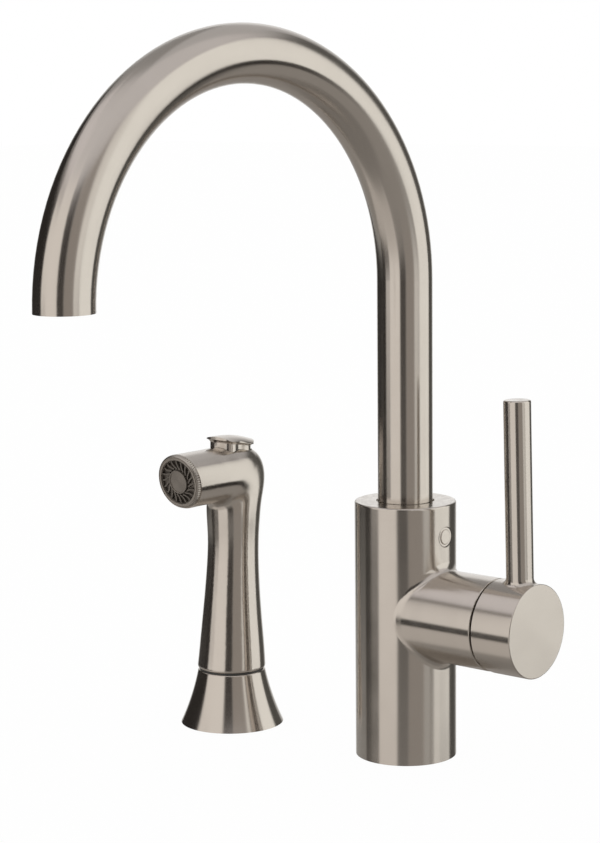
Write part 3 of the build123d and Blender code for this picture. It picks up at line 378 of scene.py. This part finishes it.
def around(tree, centre, axis, face=None):
    """Coordinates of a turned piece: run along its profile, spin round it, and the way across the lines.

    Where a face way is given, the flat ends are brushed in straight lines square to it, not in rings.
    """
    here = add(tree, "ShaderNodeTexCoord")
    offset = vector(tree, "SUBTRACT", here.outputs["Object"], tuple(centre))
    along = vector(tree, "DOT_PRODUCT", offset, tuple(axis))
    lengthwise = vector(tree, "SCALE", tuple(axis), along)
    outward = vector(tree, "SUBTRACT", offset, lengthwise)
    run = maths(tree, "ADD", along, vector(tree, "LENGTH", outward))
    spin = vector(tree, "NORMALIZE", outward)
    lines = vector(tree, "CROSS_PRODUCT", tuple(axis), outward)
    across = vector(tree, "CROSS_PRODUCT", lines, here.outputs["Normal"])
    if face is not None:
        facing = maths(tree, "ABSOLUTE", vector(tree, "DOT_PRODUCT", here.outputs["Normal"], tuple(axis)))
        on_face = maths(tree, "GREATER_THAN", facing, FLAT_END)
        run = number_mix(tree, on_face, run, vector(tree, "DOT_PRODUCT", offset, face))
        spin = vector_mix(tree, on_face, spin, vector(tree, "SCALE", outward, RING_SCALE))
        across = vector_mix(tree, on_face, vector(tree, "NORMALIZE", across), face)
    return run, spin, across


def along_bend(tree, centre, heading, far_leg):
    """Coordinates of a run that rises, bends over about a centre and goes on along a heading.

    The way across the lines is upward below the bend, square to the line from the centre in the
    bend, and along the heading past it, or downward again where the run has a far leg.
    """
    here = add(tree, "ShaderNodeTexCoord")
    offset = vector(tree, "SUBTRACT", here.outputs["Object"], tuple(centre))
    ahead = vector(tree, "DOT_PRODUCT", offset, tuple(heading))
    up = vector(tree, "DOT_PRODUCT", offset, UP)
    raised = maths(tree, "MAXIMUM", up, 0.0)
    behind = maths(tree, "MULTIPLY", ahead, -1.0)
    if not far_leg:
        behind = maths(tree, "MAXIMUM", behind, LEAST_BEHIND)
    across = vector(tree, "ADD", vector(tree, "SCALE", tuple(heading), raised),
                    vector(tree, "SCALE", UP, behind))
    angle = maths(tree, "ARCTAN2", raised, behind)
    bend = maths(tree, "MULTIPLY", angle, SPOUT_BEND_RUN if far_leg else SPRAY_BEND_RUN)
    run = maths(tree, "ADD", bend, maths(tree, "MINIMUM", up, 0.0))
    side = vector(tree, "DOT_PRODUCT", offset, (-heading[1], heading[0], 0.0))
    place = add(tree, "ShaderNodeCombineXYZ")
    feed(tree, place, 0, maths(tree, "MULTIPLY", side, BEND_SCALE))
    feed(tree, place, 1, maths(tree, "MULTIPLY", vector(tree, "LENGTH", across), BEND_SCALE))
    return run, place.outputs[0], across


def hub_and_column(tree):
    """Coordinates of the body: lines round the column, turning to lines round the hub past the blend."""
    here = add(tree, "ShaderNodeTexCoord")
    apart = add(tree, "ShaderNodeSeparateXYZ")
    feed(tree, apart, 0, here.outputs["Object"])
    reach = vector(tree, "LENGTH", vector(tree, "MULTIPLY", here.outputs["Object"], (1.0, 1.0, 0.0)))
    on_hub = ramp(tree, reach, COLUMN_RADIUS + BLEND_START, COLUMN_RADIUS + BLEND_END)
    across = vector_mix(tree, on_hub, UP, ALONG_HUB)
    run = number_mix(tree, on_hub, apart.outputs["Z"], apart.outputs["X"])
    return run, vector(tree, "SCALE", here.outputs["Object"], COLUMN_SCALE), across


def turned(x, y, z=0.0, axis=UP, face=None):
    """The place function of a piece turned about an axis through a point."""
    def place(tree):
        return around(tree, (x, y, z), axis, face=face)
    return place


def brushed(name, place, colour, roughness, directional, settings, tarnish=0.08):
    """A brushed metal. place(tree) gives run, spin and the way across its brush lines."""
    material, tree, shader = principled(name)
    run, spin, across = place(tree)
    grain = add(tree, "ShaderNodeGroup", node_tree=shared_group("Brushed grain", brush_group))
    feed(tree, grain, "Run", run)
    feed(tree, grain, "Spin", spin)
    grain.inputs["Pitch"].default_value = settings.grain_pitch
    grain.inputs["Roughness"].default_value = roughness
    grain.inputs["Variation"].default_value = GRAIN_VARIATION
    grain.inputs["Colour"].default_value = opaque(colour)
    grain.inputs["Tarnish"].default_value = tarnish
    feed(tree, shader, "Base Color", grain.outputs["Colour"])
    feed(tree, shader, "Roughness", grain.outputs["Roughness"])
    shader.inputs["Metallic"].default_value = 1.0
    shader.inputs["Anisotropic"].default_value = directional
    turn = add(tree, "ShaderNodeVectorTransform", vector_type="VECTOR", convert_from="OBJECT", convert_to="WORLD")
    feed(tree, turn, 0, across)
    feed(tree, shader, "Tangent", turn.outputs[0])
    bump = add(tree, "ShaderNodeBump")
    bump.inputs["Strength"].default_value = GRAIN_STRENGTH
    bump.inputs["Distance"].default_value = settings.grain_depth
    feed(tree, bump, "Height", grain.outputs["Height"])
    feed(tree, shader, "Normal", bump.outputs[0])
    return material


def textured(name, colour, shade, roughness, scale, depth, metallic=0.0):
    """A moulded, ground or sintered finish with an even fine texture."""
    material, tree, shader = principled(name)
    here = add(tree, "ShaderNodeTexCoord")
    texture = add(tree, "ShaderNodeGroup", node_tree=shared_group("Fine texture", speckle_group))
    feed(tree, texture, "Vector", here.outputs["Object"])
    texture.inputs["Scale"].default_value = scale
    texture.inputs["Colour"].default_value = opaque(colour)
    texture.inputs["Shade"].default_value = opaque(shade)
    texture.inputs["Roughness"].default_value = roughness
    texture.inputs["Variation"].default_value = SPECKLE_VARIATION
    feed(tree, shader, "Base Color", texture.outputs["Colour"])
    feed(tree, shader, "Roughness", texture.outputs["Roughness"])
    shader.inputs["Metallic"].default_value = metallic
    bump = add(tree, "ShaderNodeBump")
    bump.inputs["Strength"].default_value = SPECKLE_STRENGTH
    bump.inputs["Distance"].default_value = depth
    feed(tree, bump, "Height", texture.outputs["Height"])
    feed(tree, shader, "Normal", bump.outputs[0])
    return material


def dress(material, *names):
    """Gives CAD nodes a material in place of the plain one that they came with."""
    for name in names:
        piece = frame["nodes"][name]
        if not piece.material_slots:
            raise RuntimeError(f"{name} has no material slot")
        for slot in piece.material_slots:
            slot.material = material


# ---------------------------------------------------------------- mesh helper
def grid_mesh(name, points):
    """A mesh over a grid of points, rows by columns: a quad from each point to the next both ways."""
    rows, columns = points.shape[:2]
    index = np.arange(rows * columns).reshape(rows, columns)
    quads = np.stack([index[:-1, :-1], index[1:, :-1], index[1:, 1:], index[:-1, 1:]], axis=-1).reshape(-1, 4)
    mesh = bpy.data.meshes.new(name)
    mesh.from_pydata(points.reshape(-1, 3).tolist(), [], quads.tolist())
    mesh.update()
    return mesh


# ---------------------------------------------------------------- finishes
class FAUCET_OT_nickel(bpy.types.Operator):
    """Brushed nickel on the body, spout, lever and holder, with lines round each piece"""
    bl_idname = "faucet.nickel"
    bl_label = "Brush the nickel"

    def execute(self, context):
        settings = context.scene.faucet_finish
        colour = tuple(settings.nickel)
        rough = settings.roughness
        pull = settings.directional
        dress(brushed("nickel column and hub", hub_and_column, colour, rough, pull, settings), "body_shell")

        heading = (-math.sin(SPOUT_TURN), -math.cos(SPOUT_TURN), 0.0)
        centre = (SPOUT_BEND_RADIUS * heading[0], SPOUT_BEND_RADIUS * heading[1],
                  SPOUT_TOP - SPOUT_RADIUS - SPOUT_BEND_RADIUS)

        def tube_place(tree):
            return along_bend(tree, centre, heading, True)
        dress(brushed("nickel spout", tube_place, colour, rough, pull, settings), "spout_tube")
        hub_place = turned(0.0, 0.0, HUB_AXIS[2], axis=ALONG_HUB, face=UP)
        cap = brushed("nickel lever cap", hub_place, colour, rough, pull, settings)
        dress(cap, "lever_cap", "valve_cover_ring")
        rod_place = turned(middle_of("lever_rod")[0], 0.0)
        dress(brushed("nickel lever rod", rod_place, colour, rough, pull, settings), "lever_rod")
        holder_place = turned(SPRAY_AXIS[0], SPRAY_AXIS[1])
        dress(brushed("nickel holder", holder_place, colour, rough, pull, settings), "spray_holder")
        plug_place = turned(0.0, 0.0, middle_of("side_plug")[2], axis=ALONG_HUB)
        trim = brushed("nickel trim", plug_place, colour, rough, directional=0.5, settings=settings)
        dress(trim, "side_plug", "lever_plug")
        return {"FINISHED"}


class FAUCET_OT_spray_finish(bpy.types.Operator):
    """Satin nickel on the hand spray, with its lines turning from the handle into the head"""
    bl_idname = "faucet.spray_finish"
    bl_label = "Finish the hand spray"

    def execute(self, context):
        settings = context.scene.faucet_finish
        colour = tuple(settings.nickel)
        rough = settings.satin_roughness
        head = (SPRAY_AXIS[0], SPRAY_AXIS[1] - SPRAY_BEND_AHEAD, SPRAY_BEND_HEIGHT)

        def spray_place(tree):
            return along_bend(tree, head, (0.0, -1.0, 0.0), False)
        dress(brushed("satin nickel spray", spray_place, colour, rough, settings.directional, settings), "spray_body")
        trigger_place = turned(SPRAY_AXIS[0], SPRAY_AXIS[1] + TRIGGER_BACK)
        trigger = brushed("satin nickel trigger", trigger_place, colour, rough, directional=0.6, settings=settings)
        dress(trigger, "trigger_button")

        out = (0.0, -math.cos(NOZZLE_TILT), -math.sin(NOZZLE_TILT))
        face_place = turned(*middle_of("spray_centre_disc"), axis=out)
        # The bezel, plate and disc take darker copies of the nickel (0.8, 0.45 and 0.62 of it), with more of the
        # darker lines on the plate and the disc: painted shade of the recessed nozzle face, darkest on the plate's
        # floor between its vanes.
        bezel = brushed("nozzle bezel with painted shade", face_place, shaded(0.8, colour), roughness=0.34, directional=0.5,
                        settings=settings)
        dress(bezel, "nozzle_bezel")
        plate = brushed("nozzle plate with painted shade", face_place, shaded(0.45, colour), roughness=0.42, directional=0.4,
                        settings=settings, tarnish=0.3)
        dress(plate, "spray_plate")
        disc = brushed("nozzle disc with painted shade", face_place, shaded(0.62, colour), roughness=0.4, directional=0.4,
                       settings=settings, tarnish=0.2)
        dress(disc, "spray_centre_disc")
        return {"FINISHED"}


class FAUCET_OT_inner_finish(bpy.types.Operator):
    """Brass, steel, ceramic, moulded and rubber finishes on what the faucet holds inside"""
    bl_idname = "faucet.inner_finish"
    bl_label = "Finish the inner pieces"

    def execute(self, context):
        settings = context.scene.faucet_finish
        rubber = tuple(settings.rubber)
        black = textured("moulded rubber", rubber, shaded(1.8, rubber), roughness=0.62, scale=2500.0, depth=0.00004)
        dress(black, "base_gasket", "holder_gasket", "spout_o_rings", "valve_port_seals", "diverter_o_ring",
              "connector_o_ring", "poppet_seal", "nozzle_seal", "aerator_washer")
        acetal = tuple(settings.acetal)
        white = textured("moulded acetal", acetal, shaded(0.94, acetal), roughness=0.42, scale=1800.0, depth=0.00002)
        dress(white, "spout_foot_ring", "spout_bearing_sleeve", "diverter_sleeve", "diverter_spool",
              "handle_adapter", "waterway_tube", "spray_valve_housing", "trigger_gland", "valve_base_plate",
              "valve_case", "turret", "disc_carrier", "spray_poppet", "connector_clip")
        ceramic = textured("lapped ceramic", CERAMIC, CERAMIC_SHADE, roughness=0.18, scale=6000.0, depth=0.000004)
        dress(ceramic, "fixed_disc", "moving_disc")
        steel = textured("drawn steel", STEEL, STEEL_SHADE, roughness=0.28, scale=4000.0, depth=0.00001, metallic=1.0)
        dress(steel, "spout_retaining_screw", "stem_pin", "valve_stem", "lever_set_screw", "diverter_spring",
              "spray_spring", "trigger_stem")
        dark = textured("dark moulded bush", DARK, DARK_SHADE, roughness=0.48, scale=2200.0, depth=0.00003)
        dress(dark, "holder_bush", "aerator_screen")

        upright = turned(0.0, 0.0)
        at_spray = turned(SPRAY_AXIS[0], SPRAY_AXIS[1])
        at_hub = turned(0.0, 0.0, HUB_AXIS[2], axis=ALONG_HUB)
        mouth = middle_of("aerator_housing")
        at_mouth = turned(mouth[0], mouth[1])
        brass = tuple(settings.brass)
        lathe = {"roughness": 0.3, "directional": 0.6, "settings": settings}
        dress(brushed("turned brass stem", upright, brass, tarnish=0.25, **lathe), "spout_stem")
        dress(brushed("turned brass hose end", at_spray, brass, tarnish=0.25, **lathe), "hose_connector")
        dress(brushed("turned brass nut", at_hub, brass, tarnish=0.25, **lathe), "valve_nut")
        dress(brushed("aerator metal", at_mouth, tuple(settings.nickel), **lathe), "aerator_housing")
        return {"FINISHED"}


# ---------------------------------------------------------------- studio
class FAUCET_OT_studio(bpy.types.Operator):
    """Camera at the photograph's angle, soft surrounding light with its dark gaps, and a pale floor"""
    bl_idname = "faucet.studio"
    bl_label = "Set up the studio"

    def execute(self, context):
        scene = context.scene
        settings = scene.faucet_studio
        self.place_camera(scene, settings)
        self.light_world(scene, settings)
        self.lay_floor(settings)
        scene.view_settings.view_transform = "Standard"
        return {"FINISHED"}

    def place_camera(self, scene, settings):
        """The camera at the photograph's place, turned by yaw, pitch and roll."""
        azimuth = settings.azimuth
        place = Vector((settings.distance * math.sin(azimuth), -settings.distance * math.cos(azimuth),
                        settings.height))
        look = azimuth + settings.yaw
        ahead = Vector((-math.sin(look) * math.cos(settings.pitch), math.cos(look) * math.cos(settings.pitch),
                        -math.sin(settings.pitch)))
        right = ahead.cross(Vector(UP)).normalized()
        above = right.cross(ahead)
        tilt = settings.roll
        side = right * math.cos(tilt) + above * math.sin(tilt)
        upward = above * math.cos(tilt) - right * math.sin(tilt)
        turn = Matrix((side, upward, -ahead)).transposed().to_4x4()
        data = bpy.data.cameras.new("camera")
        data.sensor_width = 36.0
        data.lens = settings.lens
        data.clip_end = 100.0
        camera = bpy.data.objects.new("camera", data)
        camera.matrix_world = Matrix.Translation(place) @ turn
        scene.collection.objects.link(camera)
        scene.camera = camera

    def light_world(self, scene, settings):
        """A world of patches that only metal mirrors. All else is lit evenly, and the camera sees white."""
        world = bpy.data.worlds.new("studio")
        world.use_nodes = True
        tree = world.node_tree
        tree.nodes.clear()
        here = add(tree, "ShaderNodeTexCoord")
        direction = here.outputs["Generated"]
        azimuth = settings.azimuth
        ahead = vector(tree, "DOT_PRODUCT", direction, (math.sin(azimuth), -math.cos(azimuth), 0.0))
        aside = vector(tree, "DOT_PRODUCT", direction, (math.cos(azimuth), math.sin(azimuth), 0.0))
        above = vector(tree, "DOT_PRODUCT", direction, UP)
        turn = maths(tree, "ARCTAN2", aside, ahead)
        rise = maths(tree, "ARCSINE", above)
        colour = opaque(SURROUND)
        for patch in SURROUNDINGS:
            across = between(tree, turn, patch.left, patch.right, settings.softness)
            upward = between(tree, rise, patch.foot, patch.top, settings.softness / 2)
            colour = colour_mix(tree, maths(tree, "MULTIPLY", across, upward), colour, opaque(patch.light))
        behind = ramp(tree, maths(tree, "ABSOLUTE", turn), math.radians(BACKDROP_START), math.radians(BACKDROP_FULL))
        behind = maths(tree, "MULTIPLY", behind, between(tree, rise, *BACKDROP_HEIGHT, settings.softness / 2))
        path = add(tree, "ShaderNodeLightPath")
        colour = colour_mix(tree, path.outputs["Is Diffuse Ray"], colour, opaque(PLAIN_LIGHT))
        colour = vector(tree, "SCALE", colour, settings.level)
        white = maths(tree, "MAXIMUM", path.outputs["Is Camera Ray"], path.outputs["Is Transmission Ray"])
        white = maths(tree, "MAXIMUM", white, maths(tree, "MULTIPLY", path.outputs["Is Glossy Ray"], behind))
        colour = colour_mix(tree, white, colour, WHITE)
        light = add(tree, "ShaderNodeBackground")
        feed(tree, light, "Color", colour)
        output = tree.nodes.new("ShaderNodeOutputWorld")
        tree.links.new(light.outputs[0], output.inputs["Surface"])
        scene.world = world

    def lay_floor(self, settings):
        """A pale floor that keeps the shadow; metal mirrors the studio past it, not the floor."""
        material = bpy.data.materials.new("pale floor")
        material.use_nodes = True
        tree = material.node_tree
        tree.nodes.clear()
        cloth = add(tree, "ShaderNodeBsdfDiffuse")
        cloth.inputs["Color"].default_value = opaque(FLOOR_COLOUR)
        white = add(tree, "ShaderNodeEmission")
        white.inputs["Color"].default_value = WHITE
        path = add(tree, "ShaderNodeLightPath")
        seen = add(tree, "ShaderNodeMixShader")
        feed(tree, seen, 0, maths(tree, "MULTIPLY", path.outputs["Is Camera Ray"], settings.floor_shown))
        tree.links.new(cloth.outputs[0], seen.inputs[1])
        tree.links.new(white.outputs[0], seen.inputs[2])
        clear = add(tree, "ShaderNodeBsdfTransparent")
        both = add(tree, "ShaderNodeMixShader")
        feed(tree, both, 0, path.outputs["Is Glossy Ray"])
        tree.links.new(seen.outputs[0], both.inputs[1])
        tree.links.new(clear.outputs[0], both.inputs[2])
        output = tree.nodes.new("ShaderNodeOutputMaterial")
        tree.links.new(both.outputs[0], output.inputs["Surface"])
        side = np.linspace(-FLOOR_REACH, FLOOR_REACH, FLOOR_POINTS)
        points = np.zeros((FLOOR_POINTS, FLOOR_POINTS, 3))
        points[:, :, 0] = side[:, None]
        points[:, :, 1] = side[None, :]
        points[:, :, 2] = -FLOOR_GAP
        mesh = grid_mesh("floor", points)
        mesh.materials.append(material)
        floor = bpy.data.objects.new("floor", mesh)
        bpy.context.scene.collection.objects.link(floor)


# ---------------------------------------------------------------- panel and run
class FAUCET_PT_panel(bpy.types.Panel):
    """Faucet tools"""
    bl_idname = "FAUCET_PT_panel"
    bl_label = "Side spray faucet"
    bl_space_type = "VIEW_3D"
    bl_region_type = "UI"
    bl_category = "Faucet"

    def draw(self, context):
        layout = self.layout
        for operator in STEPS:
            layout.operator(operator.bl_idname)
        for group in (context.scene.faucet_finish, context.scene.faucet_studio):
            for name in group.__annotations__:
                layout.prop(group, name)


STEPS = [FAUCET_OT_nickel, FAUCET_OT_spray_finish, FAUCET_OT_inner_finish, FAUCET_OT_studio]
CLASSES = [FaucetFinish, FaucetStudio, *STEPS, FAUCET_PT_panel]


def register():
    for entry in CLASSES:
        bpy.utils.register_class(entry)
    bpy.types.Scene.faucet_finish = bpy.props.PointerProperty(type=FaucetFinish)
    bpy.types.Scene.faucet_studio = bpy.props.PointerProperty(type=FaucetStudio)


def unregister():
    del bpy.types.Scene.faucet_studio
    del bpy.types.Scene.faucet_finish
    for entry in reversed(CLASSES):
        bpy.utils.unregister_class(entry)


def main():
    """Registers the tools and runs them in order."""
    register()
    bpy.ops.faucet.nickel()
    bpy.ops.faucet.spray_finish()
    bpy.ops.faucet.inner_finish()
    bpy.ops.faucet.studio()


if __name__ == "__main__":
    main()
